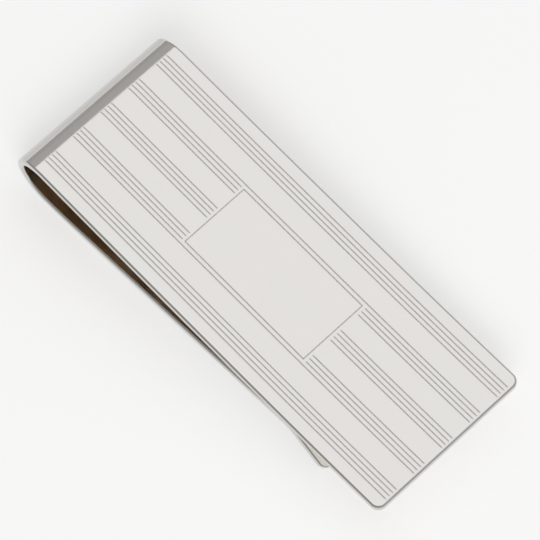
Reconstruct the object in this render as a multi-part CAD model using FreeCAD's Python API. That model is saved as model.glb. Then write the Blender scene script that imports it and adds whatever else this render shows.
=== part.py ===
"""Money clip: one silver strip, bent round a bow so that its back leaf pinches the front plate.

The strip is built as its forming zones, each a solid of its own, that meet face to face:
front_plate, bow, heel, spring_leaf, pinch_knee and lift_lip. The side profile lies in the
X-Z plane and each zone is its stretch of that profile, given its width along Y. Lengths are
millimetres and slopes are degrees, positive where the profile rises along +X.
"""
import FreeCAD, Part

import math
import os

Vector = FreeCAD.Vector

# Overall sizes of the strip. The leaf is a touch narrower than the plate.
STRIP_WIDTH = 19.05
LEAF_WIDTH = 18.87
THICKNESS = 0.85
OVERALL_LENGTH = 51.0
CORNER_RADIUS = 1.0

# Front plate: a flat middle at Z = 0, and two gentle arcs that lift both ends.
FLAT_START = 19.5
FLAT_END = 31.5
BOW_SIDE_ARC_RADIUS = 474.0
FREE_END_ARC_RADIUS = 288.0

# Bow: the hoop at the closed end. Its outside touches X = 0 in the profile.
BOW_OUTER_RADIUS = 3.75
BOW_INNER_RADIUS = BOW_OUTER_RADIUS - THICKNESS
# The engraved plate's zone runs on over the bow's shoulder, to this slope.
SEAM_SLOPE = 21.0

# Back leaf: the heel turns the bow's end up to the leaf's slope, and the knee turns it down.
LEAF_SLOPE = 9.8
LIP_SLOPE = -33.0
KNEE_INNER_RADIUS = 2.0
KNEE_OUTER_RADIUS = KNEE_INNER_RADIUS + THICKNESS
KNEE_X = 38.15
PINCH_GAP = 0.05
LIP_END_X = 43.32

# Engraving: five bands of four lines, and a frame left plain in the middle for initials.
BAND_COUNT = 5
BAND_PITCH = 3.70
LINES_PER_BAND = 4
LINE_PITCH = 0.46
GROOVE_WIDTH = 0.15
GROOVE_DEPTH = 0.06
LINES_START = 2.8
LINES_END = OVERALL_LENGTH - 0.38
FRAME_START = 18.36
FRAME_END = 34.95
FRAME_CLEARANCE = 0.33
FRAME_HALF_WIDTH = BAND_PITCH + LINE_PITCH / 2

# How far a cutter stands out of the face that it cuts.
OVERCUT = 0.03
ACROSS = Vector(0, 1, 0)


def along(slope):
    """Unit vector of the profile at this slope."""
    angle = math.radians(slope)
    return Vector(math.cos(angle), 0, math.sin(angle))


def normal(slope):
    """Unit vector square to along(slope), on its upper side."""
    angle = math.radians(slope)
    return Vector(-math.sin(angle), 0, math.cos(angle))


def plate_slope(x):
    """Slope of the front plate where its top face passes x."""
    if x < SHOULDER_X:
        return math.degrees(math.asin((BOW_CENTRE.x - x) / BOW_OUTER_RADIUS))
    if x < FLAT_START:
        return -math.degrees(math.asin((FLAT_START - x) / BOW_SIDE_ARC_RADIUS))
    if x > FLAT_END:
        return math.degrees(math.asin((x - FLAT_END) / FREE_END_ARC_RADIUS))
    return 0.0


def plate_point(x, height):
    """Point at this height over the front plate's top face, square to the face at x."""
    slope = plate_slope(x)
    if x < SHOULDER_X:
        return BOW_CENTRE + normal(slope) * (BOW_OUTER_RADIUS + height)
    if x < FLAT_START:
        rise = BOW_SIDE_ARC_RADIUS * (1 - math.cos(math.radians(slope)))
    elif x > FLAT_END:
        rise = FREE_END_ARC_RADIUS * (1 - math.cos(math.radians(slope)))
    else:
        rise = 0.0
    return Vector(x, 0, rise) + normal(slope) * height


# The plate's two arcs curl up round centres high above the flat's ends.
BOW_SIDE_CENTRE = Vector(FLAT_START, 0, BOW_SIDE_ARC_RADIUS)
FREE_END_CENTRE = Vector(FLAT_END, 0, FREE_END_ARC_RADIUS)

# The bow's circle touches the plate's arc, so that the line of their centres is square to both.
CENTRE_DISTANCE = BOW_SIDE_ARC_RADIUS + BOW_OUTER_RADIUS
BOW_TOP_SLOPE = -math.degrees(math.asin((FLAT_START - BOW_OUTER_RADIUS) / CENTRE_DISTANCE))
BOW_CENTRE = BOW_SIDE_CENTRE - normal(BOW_TOP_SLOPE) * CENTRE_DISTANCE
BOW_BOTTOM = BOW_CENTRE - Vector(0, 0, BOW_OUTER_RADIUS)
SHOULDER_X = (BOW_CENTRE + normal(BOW_TOP_SLOPE) * BOW_OUTER_RADIUS).x
SEAM = BOW_CENTRE + normal(SEAM_SLOPE) * BOW_OUTER_RADIUS

# The knee's crest stands just under the plate's lower face.
CREST_SLOPE = plate_slope(KNEE_X)
CREST = plate_point(KNEE_X, -THICKNESS - PINCH_GAP)
KNEE_CENTRE = CREST - normal(CREST_SLOPE) * KNEE_OUTER_RADIUS
LEAF_END = KNEE_CENTRE + normal(LEAF_SLOPE) * KNEE_INNER_RADIUS

# The heel's arc leaves the bow level and meets the leaf's lower face in a common tangent.
HEEL_DROP = (BOW_BOTTOM - LEAF_END).dot(normal(LEAF_SLOPE))
HEEL_OUTER_RADIUS = HEEL_DROP / (1 - math.cos(math.radians(LEAF_SLOPE)))
HEEL_INNER_RADIUS = HEEL_OUTER_RADIUS - THICKNESS
HEEL_CENTRE = BOW_BOTTOM + Vector(0, 0, HEEL_OUTER_RADIUS)

# Lip: its lower face runs straight from the knee to LIP_END_X.
LIP_START = KNEE_CENTRE + normal(LIP_SLOPE) * KNEE_INNER_RADIUS
LIP_LENGTH = (LIP_END_X - LIP_START.x) / math.cos(math.radians(LIP_SLOPE))
LIP_TIP = LIP_START + along(LIP_SLOPE) * LIP_LENGTH


def rest_tilt():
    """Slope of the table under the clip, which rests on its heel and the tip of its lip."""
    reach = HEEL_CENTRE - LIP_TIP
    bearing = math.degrees(math.atan2(reach.z, reach.x))
    return bearing - 180 + math.degrees(math.asin(HEEL_OUTER_RADIUS / reach.Length))


def arc(centre, radius, first_slope, last_slope):
    """Arc of the profile. A negative radius puts it under its centre."""
    slopes = (first_slope, (first_slope + last_slope) / 2, last_slope)
    points = [centre + normal(slope) * radius for slope in slopes]
    return Part.Arc(*points).toShape()


def line(first, last):
    return Part.LineSegment(first, last).toShape()


def widened(edges, width):
    """Solid of a closed profile, given this width about the middle plane."""
    wire = Part.Wire(Part.__sortEdges__(edges))
    face = Part.Face(wire)
    face.translate(Vector(0, -width / 2, 0))
    return face.extrude(Vector(0, width, 0))


def bent_zone(centre, upper_radius, lower_radius, first_slope, last_slope, width):
    """Stretch of strip bent round one centre."""
    upper = arc(centre, upper_radius, first_slope, last_slope)
    lower = arc(centre, lower_radius, first_slope, last_slope)
    first_end = line(
        centre + normal(first_slope) * upper_radius,
        centre + normal(first_slope) * lower_radius,
    )
    last_end = line(
        centre + normal(last_slope) * upper_radius,
        centre + normal(last_slope) * lower_radius,
    )
    return widened([upper, first_end, lower, last_end], width)


def straight_zone(lower_start, slope, length, width):
    """Straight stretch of strip, from a point of its lower face."""
    rise = normal(slope) * THICKNESS
    run = along(slope) * length
    corners = [lower_start, lower_start + run, lower_start + run + rise, lower_start + rise]
    edges = [line(corners[i - 1], corners[i]) for i in range(len(corners))]
    return widened(edges, width)


def round_corners(solid, x, height_axis):
    """Round the two corners of the strip's cut end, whose short edges lie near x."""
    corners = []
    for edge in solid.Edges:
        ends = [vertex.Point for vertex in edge.Vertexes]
        if len(ends) != 2 or abs(ends[0].x - x) > THICKNESS:
            continue
        step = ends[1] - ends[0]
        through = abs(step.Length - THICKNESS) < 0.01 and step.cross(height_axis).Length < 0.01
        if through:
            corners.append(edge)
    return solid.makeFillet(CORNER_RADIUS, corners)


def groove_section(x):
    """V-shaped face across the plate at x, with its point at the groove's bottom."""
    half_width = GROOVE_WIDTH / 2 * (1 + OVERCUT / GROOVE_DEPTH)
    bottom = plate_point(x, -GROOVE_DEPTH)
    top = plate_point(x, OVERCUT)
    left = top - ACROSS * half_width
    right = top + ACROSS * half_width
    return Part.Face(Part.makePolygon([bottom, left, right, bottom]))


def lengthwise_groove(y, first, last):
    """Cutters for one engraved line at y, which follows the plate's arcs and flat."""
    cutters = []
    if first < SHOULDER_X:
        turn = plate_slope(first) - BOW_TOP_SLOPE
        cutters.append(groove_section(first).revolve(BOW_CENTRE, ACROSS, turn))
    if first < FLAT_START:
        start = max(first, SHOULDER_X)
        end = min(last, FLAT_START)
        turn = plate_slope(end) - plate_slope(start)
        cutters.append(groove_section(start).revolve(BOW_SIDE_CENTRE, -ACROSS, turn))
    if first < FLAT_END and last > FLAT_START:
        start = max(first, FLAT_START)
        end = min(last, FLAT_END)
        cutters.append(groove_section(start).extrude(Vector(end - start, 0, 0)))
    if last > FLAT_END:
        start = max(first, FLAT_END)
        turn = plate_slope(last) - plate_slope(start)
        cutters.append(groove_section(start).revolve(FREE_END_CENTRE, -ACROSS, turn))
    for cutter in cutters:
        cutter.translate(Vector(0, y, 0))
    return cutters


def crosswise_groove(x):
    """Cutter for one short side of the frame."""
    half_width = GROOVE_WIDTH / 2 * (1 + OVERCUT / GROOVE_DEPTH)
    bottom = plate_point(x, -GROOVE_DEPTH)
    top = plate_point(x, OVERCUT)
    tangent = along(plate_slope(x))
    section = Part.makePolygon([bottom, top - tangent * half_width, top + tangent * half_width, bottom])
    face = Part.Face(section)
    face.translate(Vector(0, -FRAME_HALF_WIDTH, 0))
    return face.extrude(Vector(0, 2 * FRAME_HALF_WIDTH, 0))


def engraving():
    """All the cutters of the bands of lines and of the plain frame between them."""
    cutters = [crosswise_groove(FRAME_START), crosswise_groove(FRAME_END)]
    for side in (-1, 1):
        cutters += lengthwise_groove(side * FRAME_HALF_WIDTH, FRAME_START, FRAME_END)
    for band in range(BAND_COUNT):
        band_y = (band - (BAND_COUNT - 1) / 2) * BAND_PITCH
        for index in range(LINES_PER_BAND):
            y = band_y + (index - (LINES_PER_BAND - 1) / 2) * LINE_PITCH
            if abs(y) > FRAME_HALF_WIDTH + LINE_PITCH / 2:
                cutters += lengthwise_groove(y, LINES_START, LINES_END)
                continue
            cutters += lengthwise_groove(y, LINES_START, FRAME_START - FRAME_CLEARANCE)
            cutters += lengthwise_groove(y, FRAME_END + FRAME_CLEARANCE, LINES_END)
    return cutters


def front_plate():
    """Engraved plate, from the bow's shoulder to the free end."""
    end_slope = plate_slope(OVERALL_LENGTH)
    edges = [
        arc(BOW_CENTRE, BOW_OUTER_RADIUS, SEAM_SLOPE, BOW_TOP_SLOPE),
        arc(BOW_SIDE_CENTRE, -BOW_SIDE_ARC_RADIUS, BOW_TOP_SLOPE, 0),
        line(Vector(FLAT_START, 0, 0), Vector(FLAT_END, 0, 0)),
        arc(FREE_END_CENTRE, -FREE_END_ARC_RADIUS, 0, end_slope),
        line(plate_point(OVERALL_LENGTH, 0), plate_point(OVERALL_LENGTH, -THICKNESS)),
        arc(FREE_END_CENTRE, -FREE_END_ARC_RADIUS - THICKNESS, 0, end_slope),
        line(Vector(FLAT_END, 0, -THICKNESS), Vector(FLAT_START, 0, -THICKNESS)),
        arc(BOW_SIDE_CENTRE, -BOW_SIDE_ARC_RADIUS - THICKNESS, BOW_TOP_SLOPE, 0),
        arc(BOW_CENTRE, BOW_INNER_RADIUS, SEAM_SLOPE, BOW_TOP_SLOPE),
        line(SEAM, SEAM - normal(SEAM_SLOPE) * THICKNESS),
    ]
    plate = widened(edges, STRIP_WIDTH)
    plate = round_corners(plate, OVERALL_LENGTH, normal(end_slope))
    return plate.cut(engraving())


def bow():
    """Hoop from the plate round to the heel. Its sides close in to the leaf's width."""
    hoop = bent_zone(
        BOW_CENTRE, BOW_OUTER_RADIUS, BOW_INNER_RADIUS, SEAM_SLOPE, 180, STRIP_WIDTH
    )
    top = SEAM.z
    bottom = BOW_BOTTOM.z
    taper = Part.makePolygon([
        Vector(-1, -STRIP_WIDTH / 2, top),
        Vector(-1, STRIP_WIDTH / 2, top),
        Vector(-1, LEAF_WIDTH / 2, bottom),
        Vector(-1, -LEAF_WIDTH / 2, bottom),
        Vector(-1, -STRIP_WIDTH / 2, top),
    ])
    wedge = Part.Face(taper).extrude(Vector(2 * BOW_OUTER_RADIUS, 0, 0))
    return hoop.common(wedge)


def heel():
    """Shallow curve under the bow that the clip rests on."""
    return bent_zone(
        HEEL_CENTRE, -HEEL_INNER_RADIUS, -HEEL_OUTER_RADIUS, 0, LEAF_SLOPE, LEAF_WIDTH
    )


def spring_leaf():
    """Straight back leaf, from the heel up to the knee."""
    start = HEEL_CENTRE - normal(LEAF_SLOPE) * HEEL_OUTER_RADIUS
    return straight_zone(start, LEAF_SLOPE, (LEAF_END - start).Length, LEAF_WIDTH)


def pinch_knee():
    """Rounded crest that presses against the plate."""
    return bent_zone(
        KNEE_CENTRE, KNEE_OUTER_RADIUS, KNEE_INNER_RADIUS, LEAF_SLOPE, LIP_SLOPE, LEAF_WIDTH
    )


def lift_lip():
    """Flared end that a fingertip or the edge of the notes lifts."""
    lip = straight_zone(LIP_START, LIP_SLOPE, LIP_LENGTH, LEAF_WIDTH)
    return round_corners(lip, LIP_TIP.x, normal(LIP_SLOPE))


def stand(solids):
    """Turn the clip to lie as it does on a table, and centre it over the origin."""
    turn = FreeCAD.Rotation(ACROSS, rest_tilt())
    for solid in solids:
        solid.Placement = FreeCAD.Placement(Vector(0, 0, 0), turn)
    box = Part.makeCompound(solids).optimalBoundingBox(False, False)
    shift = Vector(-box.Center.x, 0, -box.ZMin)
    for solid in solids:
        solid.translate(shift)


def main():
    os.makedirs("parts", exist_ok=True)
    nodes = {
        "front_plate": front_plate(),
        "bow": bow(),
        "heel": heel(),
        "spring_leaf": spring_leaf(),
        "pinch_knee": pinch_knee(),
        "lift_lip": lift_lip(),
    }
    stand(list(nodes.values()))
    for name, shape in nodes.items():
        shape.exportStep("parts/" + name + ".step")


main()
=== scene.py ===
import math

import bmesh
import bpy
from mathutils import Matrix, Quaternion, Vector


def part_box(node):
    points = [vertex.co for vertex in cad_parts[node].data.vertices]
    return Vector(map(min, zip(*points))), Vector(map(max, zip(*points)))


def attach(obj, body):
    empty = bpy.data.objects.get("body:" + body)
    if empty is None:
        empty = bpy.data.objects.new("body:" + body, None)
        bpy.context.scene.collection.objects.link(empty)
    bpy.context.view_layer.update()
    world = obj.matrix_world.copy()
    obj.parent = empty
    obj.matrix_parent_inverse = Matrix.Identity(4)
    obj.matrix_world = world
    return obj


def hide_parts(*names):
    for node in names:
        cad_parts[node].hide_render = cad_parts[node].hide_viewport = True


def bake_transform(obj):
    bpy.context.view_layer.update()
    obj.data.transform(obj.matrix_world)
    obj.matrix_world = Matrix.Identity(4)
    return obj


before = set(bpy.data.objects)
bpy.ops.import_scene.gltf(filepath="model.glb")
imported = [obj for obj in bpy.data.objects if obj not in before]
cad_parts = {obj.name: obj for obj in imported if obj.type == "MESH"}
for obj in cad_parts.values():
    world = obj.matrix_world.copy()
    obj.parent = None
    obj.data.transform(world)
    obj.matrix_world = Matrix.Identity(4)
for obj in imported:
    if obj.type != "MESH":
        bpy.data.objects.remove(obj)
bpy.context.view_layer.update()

MM = 0.001

# The strip's sizes in millimetres, as the CAD model has them.
STRIP_WIDTH = 19.05
LEAF_WIDTH = 18.87
THICKNESS = 0.85
OVERALL_LENGTH = 51.0
CORNER_RADIUS = 1.0

FLAT_START = 19.5
FLAT_END = 31.5
BOW_SIDE_ARC_RADIUS = 474.0
FREE_END_ARC_RADIUS = 288.0
BOW_OUTER_RADIUS = 3.75
SEAM_SLOPE = 21.0

LEAF_SLOPE = 9.8
LIP_SLOPE = -33.0
KNEE_INNER_RADIUS = 2.0
KNEE_OUTER_RADIUS = KNEE_INNER_RADIUS + THICKNESS
KNEE_X = 38.15
PINCH_GAP = 0.05
LIP_END_X = 43.32

# The engraved lines, and the frame left plain between them.
BAND_COUNT = 5
BAND_PITCH = 3.70
LINES_PER_BAND = 4
LINE_PITCH = 0.46
GROOVE_WIDTH = 0.15
GROOVE_DEPTH = 0.06
GROOVE_RAMP = 0.25
LINES_START = 2.8
LINES_END = OVERALL_LENGTH - 0.38
FRAME_START = 18.36
FRAME_END = 34.95
FRAME_CLEARANCE = 0.33
FRAME_HALF_WIDTH = BAND_PITCH + LINE_PITCH / 2

# The strip's long edges and ends are rounded over in this many steps. SUPPORT is the distance
# kept between a crease and its nearest other column or station.
EDGE_ROUND = 0.24
ROUND_STEPS = 6
SUPPORT = 0.03

# Each piece's material slots.
OUTSIDE, CUT, INSIDE, EDGE = range(4)


def along(slope):
    """Unit vector (x, z) of the side profile at this slope in degrees."""
    angle = math.radians(slope)
    return Vector((math.cos(angle), math.sin(angle)))


def normal(slope):
    """Unit vector (x, z) square to along(slope), on its upper side."""
    angle = math.radians(slope)
    return Vector((-math.sin(angle), math.cos(angle)))


def plate_slope(x):
    """Slope of the front plate where its top face passes x."""
    if x < SHOULDER_X:
        return math.degrees(math.asin((BOW_CENTRE.x - x) / BOW_OUTER_RADIUS))
    if x < FLAT_START:
        return -math.degrees(math.asin((FLAT_START - x) / BOW_SIDE_ARC_RADIUS))
    if x > FLAT_END:
        return math.degrees(math.asin((x - FLAT_END) / FREE_END_ARC_RADIUS))
    return 0.0


def plate_point(x, height):
    """Profile point at this height over the front plate's top face."""
    slope = plate_slope(x)
    if x < SHOULDER_X:
        return BOW_CENTRE + normal(slope) * (BOW_OUTER_RADIUS + height)
    radius = BOW_SIDE_ARC_RADIUS if x < FLAT_START else FREE_END_ARC_RADIUS
    rise = radius * (1 - math.cos(math.radians(slope)))
    return Vector((x, rise)) + normal(slope) * height


# Derived places of the profile: the plate lies along x, its flat middle at z = 0.
CENTRE_DISTANCE = BOW_SIDE_ARC_RADIUS + BOW_OUTER_RADIUS
BOW_TOP_SLOPE = -math.degrees(math.asin((FLAT_START - BOW_OUTER_RADIUS) / CENTRE_DISTANCE))
BOW_CENTRE = Vector((FLAT_START, BOW_SIDE_ARC_RADIUS)) - normal(BOW_TOP_SLOPE) * CENTRE_DISTANCE
BOW_BOTTOM = BOW_CENTRE - Vector((0, BOW_OUTER_RADIUS))
SHOULDER_X = (BOW_CENTRE + normal(BOW_TOP_SLOPE) * BOW_OUTER_RADIUS).x
SEAM = BOW_CENTRE + normal(SEAM_SLOPE) * BOW_OUTER_RADIUS

CREST = plate_point(KNEE_X, -THICKNESS - PINCH_GAP)
KNEE_CENTRE = CREST - normal(plate_slope(KNEE_X)) * KNEE_OUTER_RADIUS
LEAF_END = KNEE_CENTRE + normal(LEAF_SLOPE) * KNEE_INNER_RADIUS

HEEL_DROP = (BOW_BOTTOM - LEAF_END).dot(normal(LEAF_SLOPE))
HEEL_OUTER_RADIUS = HEEL_DROP / (1 - math.cos(math.radians(LEAF_SLOPE)))
HEEL_CENTRE = BOW_BOTTOM + Vector((0, HEEL_OUTER_RADIUS))
LEAF_START = HEEL_CENTRE - normal(LEAF_SLOPE) * HEEL_OUTER_RADIUS

LIP_START = KNEE_CENTRE + normal(LIP_SLOPE) * KNEE_INNER_RADIUS
LIP_LENGTH = (LIP_END_X - LIP_START.x) / math.cos(math.radians(LIP_SLOPE))
LIP_TIP = LIP_START + along(LIP_SLOPE) * LIP_LENGTH

REACH = HEEL_CENTRE - LIP_TIP
REST_TILT = math.atan2(REACH.y, REACH.x) - math.pi + math.asin(HEEL_OUTER_RADIUS / REACH.length)


def turned(point):
    """A profile point after the clip is turned to rest on its heel and its lip."""
    cosine, sine = math.cos(REST_TILT), math.sin(REST_TILT)
    return Vector((point.x * cosine + point.y * sine, point.y * cosine - point.x * sine))


# The CAD bow's lowest x corner and the floor fix where the profile goes in the row frame.
SHIFT_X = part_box("bow")[0].x / MM + BOW_OUTER_RADIUS - turned(BOW_CENTRE).x
SHIFT_Z = -turned(LIP_TIP).y


def placed(point, y):
    """Row-frame place, in metres, of a profile point and a distance across the strip."""
    flat = turned(point)
    return Vector(((flat.x + SHIFT_X) * MM, y * MM, (flat.y + SHIFT_Z) * MM))


# How each zone of the flat blank is bent. u is the plate's x, the slope of an arc, or the length
# along a straight stretch. The outer face has height 0, the inner -THICKNESS.
def bend_plate(u, height):
    return plate_point(u, height)


def bend_bow(u, height):
    return BOW_CENTRE + normal(u) * (BOW_OUTER_RADIUS + height)


def bend_heel(u, height):
    return HEEL_CENTRE - normal(u) * (HEEL_OUTER_RADIUS + height)


def bend_leaf(u, height):
    return LEAF_START + along(LEAF_SLOPE) * u - normal(LEAF_SLOPE) * height


def bend_knee(u, height):
    return KNEE_CENTRE + normal(u) * (KNEE_INNER_RADIUS - height)


def bend_lip(u, height):
    return LIP_START + along(LIP_SLOPE) * u - normal(LIP_SLOPE) * height


def steps(first, last, count):
    return [first + (last - first) * index / count for index in range(count + 1)]


def merged(values, tolerance=1e-4):
    """Sorted values without near repeats."""
    kept = []
    for value in sorted(values):
        if not kept or value - kept[-1] > tolerance:
            kept.append(value)
    return kept


def line_places():
    """The y of every engraved line."""
    places = []
    for band in range(BAND_COUNT):
        band_y = (band - (BAND_COUNT - 1) / 2) * BAND_PITCH
        for index in range(LINES_PER_BAND):
            places.append(band_y + (index - (LINES_PER_BAND - 1) / 2) * LINE_PITCH)
    return places


def line_spans(y):
    """The stretches of x that the engraved line at y covers."""
    if abs(y) > FRAME_HALF_WIDTH + LINE_PITCH / 2:
        return [(LINES_START, LINES_END)]
    spans = [
        (LINES_START, FRAME_START - FRAME_CLEARANCE),
        (FRAME_END + FRAME_CLEARANCE, LINES_END),
    ]
    return spans


def vee(distance):
    """Depth of the V-shaped groove at this distance from its middle."""
    return GROOVE_DEPTH * max(0.0, 1 - abs(distance) / (GROOVE_WIDTH / 2))


LINES = [(y, line_spans(y)) for y in line_places()]


def groove_depth(x, y):
    """Depth of the engraving at a point of the front face."""
    depth = 0.0
    if abs(y) < FRAME_HALF_WIDTH + GROOVE_WIDTH / 2 + 1e-6:
        reach = max(0.0, 1 - max(0.0, abs(y) - FRAME_HALF_WIDTH) / (GROOVE_WIDTH / 2))
        for side in (FRAME_START, FRAME_END):
            depth = max(depth, vee(x - side) * reach)
    if FRAME_START <= x <= FRAME_END:
        depth = max(depth, vee(abs(y) - FRAME_HALF_WIDTH))
    for line_y, spans in LINES:
        if abs(y - line_y) > GROOVE_WIDTH / 2:
            continue
        for start, end in spans:
            ramp = min(1.0, max(0.0, min(x - start, end - x) / GROOVE_RAMP))
            depth = max(depth, vee(y - line_y) * ramp)
    return depth


def edge_rings():
    """(offset outward, height) of the rounded edge from the outer face to the inner face."""
    rings = []
    for index in range(1, ROUND_STEPS + 1):
        angle = math.radians(90 * index / ROUND_STEPS)
        rings.append((EDGE_ROUND * math.sin(angle), -EDGE_ROUND * (1 - math.cos(angle))))
    lower = [(offset, -THICKNESS - height) for offset, height in reversed(rings)]
    return rings + lower


def blank_point(u, y, width, end):
    """Point of the flat blank's grid, drawn in at a rounded end, and its outward direction."""
    half = width / 2
    inner = CORNER_RADIUS - EDGE_ROUND
    if end is None or u < end - CORNER_RADIUS - 1e-9 or abs(y) < half - CORNER_RADIUS - 1e-9:
        on_end = end is not None and u > end - EDGE_ROUND - 1e-9
        return u, y, (1.0, 0.0) if on_end else (0.0, math.copysign(1.0, y))
    a = (u - (end - CORNER_RADIUS)) / inner
    b = (abs(y) - (half - CORNER_RADIUS)) / inner
    drawn_a = a * math.sqrt(1 - b * b / 2)
    drawn_b = b * math.sqrt(1 - a * a / 2)
    size = math.hypot(drawn_a, drawn_b) or 1.0
    outward = (drawn_a / size, math.copysign(drawn_b / size, y))
    u = end - CORNER_RADIUS + drawn_a * inner
    y = math.copysign(half - CORNER_RADIUS + drawn_b * inner, y)
    return u, y, outward


def build_strip(name, outside, bend, stations, columns, width, end=None, depth=None, taper=None):
    """Closed piece of strip, bent by bend(u, height), with material outside on its outer face.

    end is the u of a cut end with rounded corners, if it has one. depth(u, y) is the engraving,
    and taper(point) scales the width at a profile point.
    """
    bm = bmesh.new()
    rings = edge_rings()

    def vertex(u, y, height):
        point = bend(u, height)
        across = y * (taper(point) if taper else 1.0)
        return bm.verts.new(placed(point, across))

    grid = [[blank_point(u, y, width, end) for y in columns] for u in stations]
    depths = [[depth(p[0], p[1]) if depth else 0.0 for p in row] for row in grid]
    outer = [
        [vertex(p[0], p[1], -d) for p, d in zip(row, row_depths)]
        for row, row_depths in zip(grid, depths)
    ]
    inner = [[vertex(p[0], p[1], -THICKNESS) for p in row] for row in grid]
    last_i = len(stations) - 1
    last_j = len(columns) - 1

    for i in range(last_i):
        for j in range(last_j):
            corners = [(i, j), (i + 1, j), (i + 1, j + 1), (i, j + 1)]
            face = bm.faces.new([outer[a][b] for a, b in corners])
            cut = sum(depths[a][b] for a, b in corners) > 1e-6
            face.material_index = CUT if cut else OUTSIDE
            face.smooth = not cut
            face = bm.faces.new([inner[a][b] for a, b in reversed(corners)])
            face.material_index = INSIDE
            face.smooth = True

    def edge_stack(i, j, outward):
        u, y, _ = grid[i][j]
        stack = [outer[i][j]]
        stack += [vertex(u + outward[0] * o, y + outward[1] * o, h) for o, h in rings]
        return stack + [inner[i][j]]

    near = [(i, 0) for i in range(last_i + 1)]
    far = [(i, last_j) for i in range(last_i, -1, -1)]
    if end is None:
        paths = [near, far]
    else:
        paths = [near + [(last_i, j) for j in range(1, last_j)] + far]
    stacks = []
    for path in paths:
        stacks.append([edge_stack(i, j, grid[i][j][2]) for i, j in path])
    for path_stacks in stacks:
        for first, second in zip(path_stacks, path_stacks[1:]):
            for k in range(len(first) - 1):
                face = bm.faces.new([first[k], first[k + 1], second[k + 1], second[k]])
                face.material_index = EDGE
                face.smooth = True

    def cap(i, near_stack, far_stack):
        loop = list(outer[i]) + far_stack[1:-1] + list(reversed(inner[i]))
        face = bm.faces.new(loop + list(reversed(near_stack[1:-1])))
        face.smooth = False

    cap(0, stacks[0][0], stacks[-1][-1])
    if end is None:
        cap(last_i, stacks[0][-1], stacks[-1][0])

    for edge in bm.edges:
        edge.smooth = all(face.smooth for face in edge.link_faces)
    bmesh.ops.recalc_face_normals(bm, faces=bm.faces)
    mesh = bpy.data.meshes.new(name)
    bm.to_mesh(mesh)
    bm.free()
    piece = bpy.data.objects.new(name, mesh)
    bpy.context.scene.collection.objects.link(piece)
    for material in (outside, CUT_SILVER, INNER_SILVER_PAINTED_SHADE, EDGE_SILVER_PAINTED_SHADE):
        mesh.materials.append(material)
    return piece


def plain_columns(width):
    """Columns across an unengraved stretch of strip."""
    edge = width / 2 - EDGE_ROUND
    inside = steps(-edge, edge, 12)
    corner = width / 2 - CORNER_RADIUS
    extra = steps(corner, edge, 8)
    mirrored = [-value for value in extra]
    return merged(inside + extra + mirrored + [edge - SUPPORT, SUPPORT - edge])


def plate_columns():
    """Columns across the engraved plate, with three at every groove."""
    values = plain_columns(STRIP_WIDTH)
    grooves = [y for y, _ in LINES] + [FRAME_HALF_WIDTH, -FRAME_HALF_WIDTH]
    half = GROOVE_WIDTH / 2
    clear = [v for v in values if all(abs(v - y) > half + SUPPORT for y in grooves)]
    cuts = [y + step for y in grooves for step in (-half, 0.0, half)]
    return merged(clear + cuts)


def end_stations(start, end, count):
    """Stations towards a cut end with rounded corners."""
    corner = end - CORNER_RADIUS
    tip = end - EDGE_ROUND
    return merged(steps(start, corner, count) + steps(corner, tip, 8) + [tip - SUPPORT])


def plate_x(slope):
    """The x of the bow's shoulder at this slope."""
    return BOW_CENTRE.x - BOW_OUTER_RADIUS * math.sin(math.radians(slope))


def plate_stations():
    """Stations along the plate, with extra ones where a groove starts, ends or crosses."""
    shoulder = [plate_x(slope) for slope in steps(SEAM_SLOPE, BOW_TOP_SLOPE, 24)]
    values = shoulder + end_stations(SHOULDER_X, OVERALL_LENGTH, 60)
    half = GROOVE_WIDTH / 2
    cuts = []
    for side in (FRAME_START, FRAME_END):
        cuts += [side - half, side, side + half]
    for start, end in line_spans(0.0) + line_spans(STRIP_WIDTH):
        cuts += [start, start + GROOVE_RAMP, end - GROOVE_RAMP, end]
    clear = [v for v in values if all(abs(v - c) > SUPPORT for c in cuts)]
    return merged(clear + cuts)


def bow_taper(point):
    """Share of the plate's width that the bow has at this height of the profile."""
    top = SEAM.y
    bottom = BOW_BOTTOM.y
    drop = (top - point.y) / (top - bottom)
    return 1 + (LEAF_WIDTH / STRIP_WIDTH - 1) * min(1.0, max(0.0, drop))


# Materials -----------------------------------------------------------------------------------
# Depths, in metres, of the polishing marks and of the soft waviness.
MARK_DEPTH = 0.000004
WAVE_DEPTH = 0.00002
WAVE_STRENGTH = 0.35


def node(tree, kind, **inputs):
    """New shader node with these input values or links."""
    made = tree.nodes.new(kind)
    for name, value in inputs.items():
        key = name.replace("_", " ")
        if isinstance(value, bpy.types.NodeSocket):
            tree.links.new(value, made.inputs[key])
        else:
            made.inputs[key].default_value = value
    return made


def noise(tree, place, stretch, detail=3.0):
    """Noise stretched along the strip: stretch is its scale along x, y and z, per metre."""
    mapping = node(tree, "ShaderNodeMapping", Vector=place, Scale=stretch)
    return node(
        tree, "ShaderNodeTexNoise", Vector=mapping.outputs["Vector"], Scale=1.0, Detail=detail
    )


def ranged(tree, value, low, high):
    """value, spread from low to high."""
    made = node(tree, "ShaderNodeMapRange", Value=value)
    made.inputs["From Min"].default_value = 0.3
    made.inputs["From Max"].default_value = 0.7
    made.inputs["To Min"].default_value = low
    made.inputs["To Max"].default_value = high
    return made.outputs["Result"]


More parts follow.
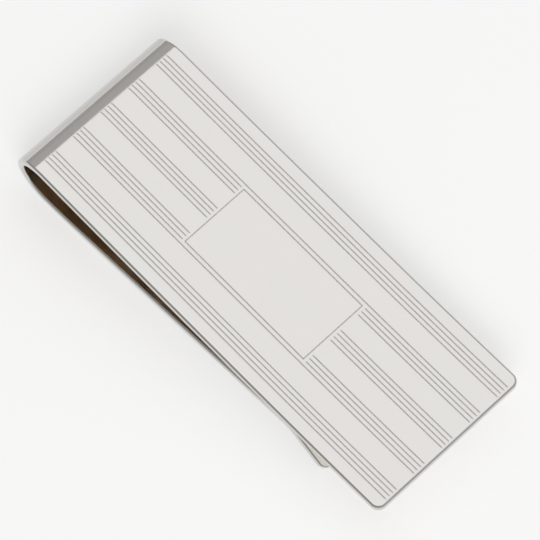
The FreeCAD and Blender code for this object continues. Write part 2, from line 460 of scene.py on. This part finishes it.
def add_painted_shade_and_tint(tree, place, colour, axis, start, end, shade):
    """colour, multiplied by shade before start on this axis and untouched after end."""
    split = node(tree, "ShaderNodeSeparateXYZ", Vector=place)
    fade = node(tree, "ShaderNodeMapRange", Value=split.outputs[axis])
    fade.inputs["From Min"].default_value = start
    fade.inputs["From Max"].default_value = end
    fade.inputs["To Min"].default_value = 1.0
    fade.inputs["To Max"].default_value = 0.0
    blend = tree.nodes.new("ShaderNodeMix")
    blend.data_type = "RGBA"
    blend.blend_type = "MULTIPLY"
    blend.inputs["B"].default_value = (*shade, 1.0)
    tree.links.new(colour, blend.inputs["A"])
    tree.links.new(fade.outputs["Result"], blend.inputs["Factor"])
    return blend.outputs["Result"]


def silver(name, warm, cool, roughness, bump, painted_shade_and_tint=None):
    """Polished silver: faint lengthwise polishing marks, soft waviness and a hint of tarnish.

    The last argument, if given, is (axis, start, end, shade): the shade tints the silver before
    start along that axis, in metres, and has faded out at end. On the back it is painted shade.
    """
    material = bpy.data.materials.new(name)
    material.use_nodes = True
    tree = material.node_tree
    shader = tree.nodes["Principled BSDF"]
    shader.inputs["Metallic"].default_value = 1.0
    place = tree.nodes.new("ShaderNodeTexCoord").outputs["Object"]

    patches = noise(tree, place, (160.0, 220.0, 220.0), 4.0)
    tint = tree.nodes.new("ShaderNodeMix")
    tint.data_type = "RGBA"
    tint.inputs["A"].default_value = (*warm, 1.0)
    tint.inputs["B"].default_value = (*cool, 1.0)
    tree.links.new(ranged(tree, patches.outputs["Fac"], 0.0, 1.0), tint.inputs["Factor"])
    colour = tint.outputs["Result"]
    # Painted shade on the back, and a warm tint in the loop's inside.
    if painted_shade_and_tint:
        colour = add_painted_shade_and_tint(tree, place, colour, *painted_shade_and_tint)
    tree.links.new(colour, shader.inputs["Base Color"])

    smudges = noise(tree, place, (350.0, 500.0, 500.0), 5.0)
    low, high = roughness
    rough = ranged(tree, smudges.outputs["Fac"], low, high)
    tree.links.new(rough, shader.inputs["Roughness"])

    marks = noise(tree, place, (900.0, 24000.0, 24000.0), 4.0)
    fine = node(
        tree, "ShaderNodeBump", Strength=bump, Distance=MARK_DEPTH, Height=marks.outputs["Fac"]
    )
    waves = noise(tree, place, (280.0, 420.0, 420.0), 2.0)
    wavy = node(
        tree,
        "ShaderNodeBump",
        Strength=WAVE_STRENGTH,
        Distance=WAVE_DEPTH,
        Height=waves.outputs["Fac"],
        Normal=fine.outputs["Normal"],
    )
    tree.links.new(wavy.outputs["Normal"], shader.inputs["Normal"])
    return material


PINKISH = (0.945, 0.915, 0.895)
GREENISH = (0.925, 0.925, 0.895)
# From the bow's shoulder down, the back's outer face has painted shade: its colour is darker
# below this height. The loop's inside is tinted warmer and darker towards the bow.
BACK_PAINTED_SHADE = ("Z", 6.65 * MM, 7.25 * MM, (0.60, 0.60, 0.59))
LOOP_WARM_TINT = ("X", -16.0 * MM, 10.0 * MM, (0.96, 0.80, 0.62))

FRONT_SILVER = silver("silver", PINKISH, GREENISH, (0.10, 0.16), 0.3)
# The back's silver carries painted shade from the bow's shoulder down.
BACK_SILVER = silver("silver_back", PINKISH, GREENISH, (0.12, 0.18), 0.3, BACK_PAINTED_SHADE)
CUT_SILVER = silver("silver_cut", (0.96, 0.935, 0.91), (0.94, 0.93, 0.905), (0.5, 0.6), 0.2)
# The inner faces' silver has a darker base than the front's: painted shade.
INNER_SILVER_PAINTED_SHADE = silver(
    "silver_inner_painted_shade", (0.86, 0.83, 0.78), (0.84, 0.825, 0.78), (0.18, 0.28), 0.4, LOOP_WARM_TINT
)
# The rounded edges' silver is painted much darker than the rest: painted shade.
EDGE_SILVER_PAINTED_SHADE = silver("silver_edge_painted_shade", (0.66, 0.645, 0.62), (0.64, 0.635, 0.61), (0.18, 0.26), 0.2)


# Pieces --------------------------------------------------------------------------------------
def front_plate():
    piece = build_strip(
        "front_plate_silver",
        FRONT_SILVER,
        bend_plate,
        plate_stations(),
        plate_columns(),
        STRIP_WIDTH,
        end=OVERALL_LENGTH,
        depth=groove_depth,
    )
    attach(piece, "front")
    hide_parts("front_plate")


def bow():
    columns = plain_columns(STRIP_WIDTH)
    stations = steps(SEAM_SLOPE, 180.0, 200)
    piece = build_strip(
        "bow_silver", BACK_SILVER, bend_bow, stations, columns, STRIP_WIDTH, taper=bow_taper
    )
    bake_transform(piece)
    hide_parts("bow")


def back_leaf():
    columns = plain_columns(LEAF_WIDTH)
    leaf_length = (LEAF_END - LEAF_START).length
    zones = [
        ("heel", bend_heel, steps(0.0, LEAF_SLOPE, 24), None),
        ("spring_leaf", bend_leaf, steps(0.0, leaf_length, 28), None),
        ("pinch_knee", bend_knee, steps(LEAF_SLOPE, LIP_SLOPE, 60), None),
        ("lift_lip", bend_lip, end_stations(0.0, LIP_LENGTH, 6), LIP_LENGTH),
    ]
    for name, bend, stations, end in zones:
        piece = build_strip(
            name + "_silver", BACK_SILVER, bend, stations, columns, LEAF_WIDTH, end=end
        )
        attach(piece, "back_leaf")
        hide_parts(name)


front_plate()
bow()
back_leaf()


# Stage ---------------------------------------------------------------------------------------
FLOOR_SIZE = 3.0
FLOOR_COLOUR = (0.6, 0.6, 0.6, 1.0)
FLOOR_ROUGHNESS = 0.9
FLOOR_GLOW = 0.45
WORLD_COLOUR = (0.36, 0.355, 0.35, 1.0)

OVERHEAD_PLACE = (-0.085, 0.32, 0.5)
OVERHEAD_AIM = (-0.085, 0.32, 0.0)
OVERHEAD_SIZE = (0.88, 0.76)
OVERHEAD_RADIANCE = 0.46
KEY_PLACE = (0.50, -0.41, 0.63)
KEY_AIM = (0.0, 0.0, 0.0)
KEY_SIZE = (0.5, 0.5)
KEY_RADIANCE = 4.6

CAMERA_AIM = Vector((0.00073, 0.00004, 0.00565))
CAMERA_AZIMUTH = -37.43
CAMERA_ELEVATION = 66.99
CAMERA_DISTANCE = 0.3908
CAMERA_ROLL = 6.575
CAMERA_LENS = 269.45


def floor():
    material = bpy.data.materials.new("floor")
    material.use_nodes = True
    shader = material.node_tree.nodes["Principled BSDF"]
    shader.inputs["Base Color"].default_value = FLOOR_COLOUR
    shader.inputs["Roughness"].default_value = FLOOR_ROUGHNESS
    shader.inputs["Specular IOR Level"].default_value = 0.0
    shader.inputs["Emission Color"].default_value = (1.0, 1.0, 1.0, 1.0)
    shader.inputs["Emission Strength"].default_value = FLOOR_GLOW
    bm = bmesh.new()
    bmesh.ops.create_grid(bm, x_segments=1, y_segments=1, size=FLOOR_SIZE / 2)
    mesh = bpy.data.meshes.new("floor")
    bm.to_mesh(mesh)
    bm.free()
    mesh.materials.append(material)
    piece = bpy.data.objects.new("floor", mesh)
    bpy.context.scene.collection.objects.link(piece)


def panel(name, centre, aim, size, radiance):
    """Soft rectangular light of this radiance."""
    light = bpy.data.lights.new(name, "AREA")
    light.shape = "RECTANGLE"
    light.size, light.size_y = size
    light.energy = radiance * math.pi * size[0] * size[1]
    lamp = bpy.data.objects.new(name, light)
    lamp.location = centre
    lamp.rotation_mode = "QUATERNION"
    lamp.rotation_quaternion = (Vector(aim) - Vector(centre)).to_track_quat("-Z", "Y")
    bpy.context.scene.collection.objects.link(lamp)
    return lamp


def studio():
    world = bpy.data.worlds.new("studio")
    world.use_nodes = True
    background = world.node_tree.nodes["Background"]
    background.inputs["Color"].default_value = WORLD_COLOUR
    background.inputs["Strength"].default_value = 1.0
    bpy.context.scene.world = world
    panel("overhead", OVERHEAD_PLACE, OVERHEAD_AIM, OVERHEAD_SIZE, OVERHEAD_RADIANCE)
    key = panel("key", KEY_PLACE, KEY_AIM, KEY_SIZE, KEY_RADIANCE)
    # The key lights the floor only: reflected in the rim it would make small burnt spots.
    key.visible_glossy = False


def camera():
    azimuth = math.radians(CAMERA_AZIMUTH)
    elevation = math.radians(CAMERA_ELEVATION)
    outward = Vector((
        math.cos(elevation) * math.cos(azimuth),
        math.cos(elevation) * math.sin(azimuth),
        math.sin(elevation),
    ))
    data = bpy.data.cameras.new("camera")
    data.lens = CAMERA_LENS
    data.sensor_width = 36.0
    data.clip_start = 0.01
    piece = bpy.data.objects.new("camera", data)
    piece.location = CAMERA_AIM + outward * CAMERA_DISTANCE
    roll = Quaternion((0, 0, 1), -math.radians(CAMERA_ROLL))
    piece.rotation_mode = "QUATERNION"
    piece.rotation_quaternion = (-outward).to_track_quat("-Z", "Y") @ roll
    bpy.context.scene.collection.objects.link(piece)
    bpy.context.scene.camera = piece


floor()
studio()
camera()
bpy.context.scene.view_settings.view_transform = "Standard"
